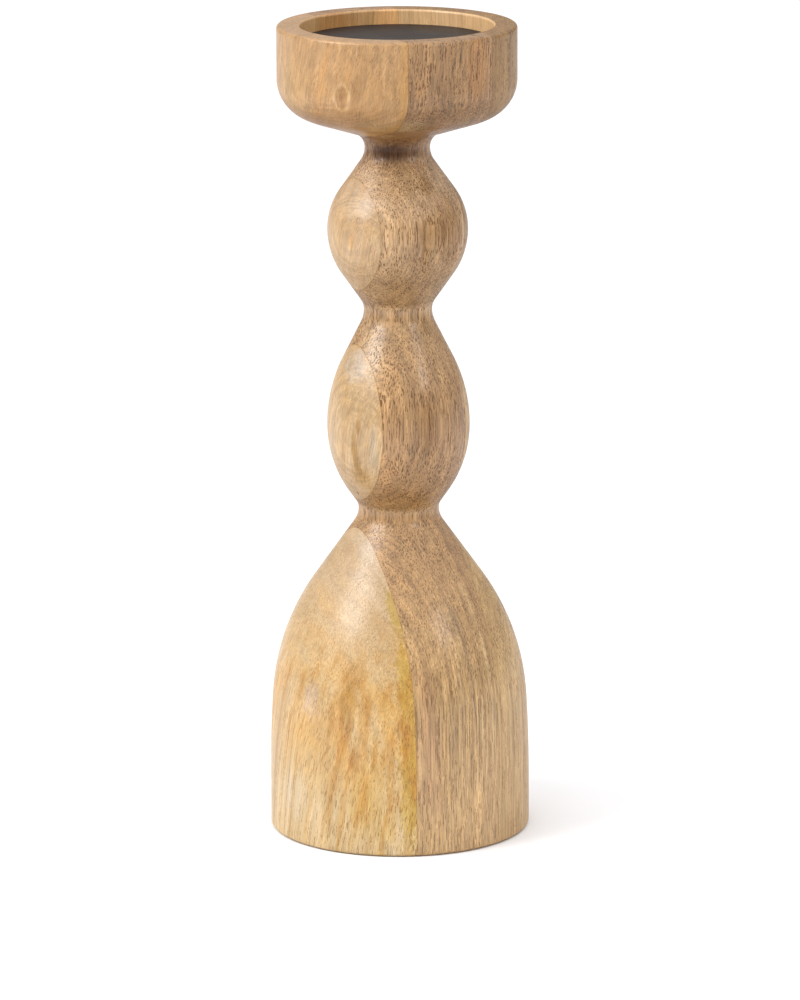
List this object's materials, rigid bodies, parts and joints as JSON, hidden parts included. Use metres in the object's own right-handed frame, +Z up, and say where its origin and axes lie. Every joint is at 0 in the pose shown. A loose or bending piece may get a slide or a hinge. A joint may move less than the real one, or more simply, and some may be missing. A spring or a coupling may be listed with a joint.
{
  "type": "candle stand",
  "caption": "Tall turned wooden candle stand with a bell-shaped base, two beads and a flat cup, whose recess holds a loose metal plate for a pillar candle.",
  "frame": {"origin": "on the turning axis, on the surface that the stand rests on, at the bottom centre of its box", "axes": "+Z up along the turning axis, +X to the right and +Y away from the viewer in the picture"},
  "size_m": [0.112, 0.112, 0.35],
  "materials": {
    "wood_core": "clear satin lacquer, brownish core plank with fine dark pores",
    "wood_left": "clear satin lacquer, yellowish pale plank",
    "wood_right": "clear satin lacquer, straight-grained pale plank",
    "plate_metal": "satin dark grey coating",
    "felt": "dense brown felt"
  },
  "bodies": {
    "stand": {"core_plank": "wood_core", "base_cheek_left": "wood_left", "base_cheek_right": "wood_right", "lower_bead_cheek_left": "wood_left", "lower_bead_cheek_right": "wood_right", "upper_bead_cheek_left": "wood_left", "upper_bead_cheek_right": "wood_right", "cup_cheek_left": "wood_left", "cup_cheek_right": "wood_right", "felt_pad": "felt"},
    "plate": {"candle_plate": "plate_metal"}
  },
  "joints": [
    {"name": "plate_lift", "type": "slide", "parent": "stand", "child": "plate", "axis": [0, 0, 1], "range_m": [0, 0.03]}
  ]
}
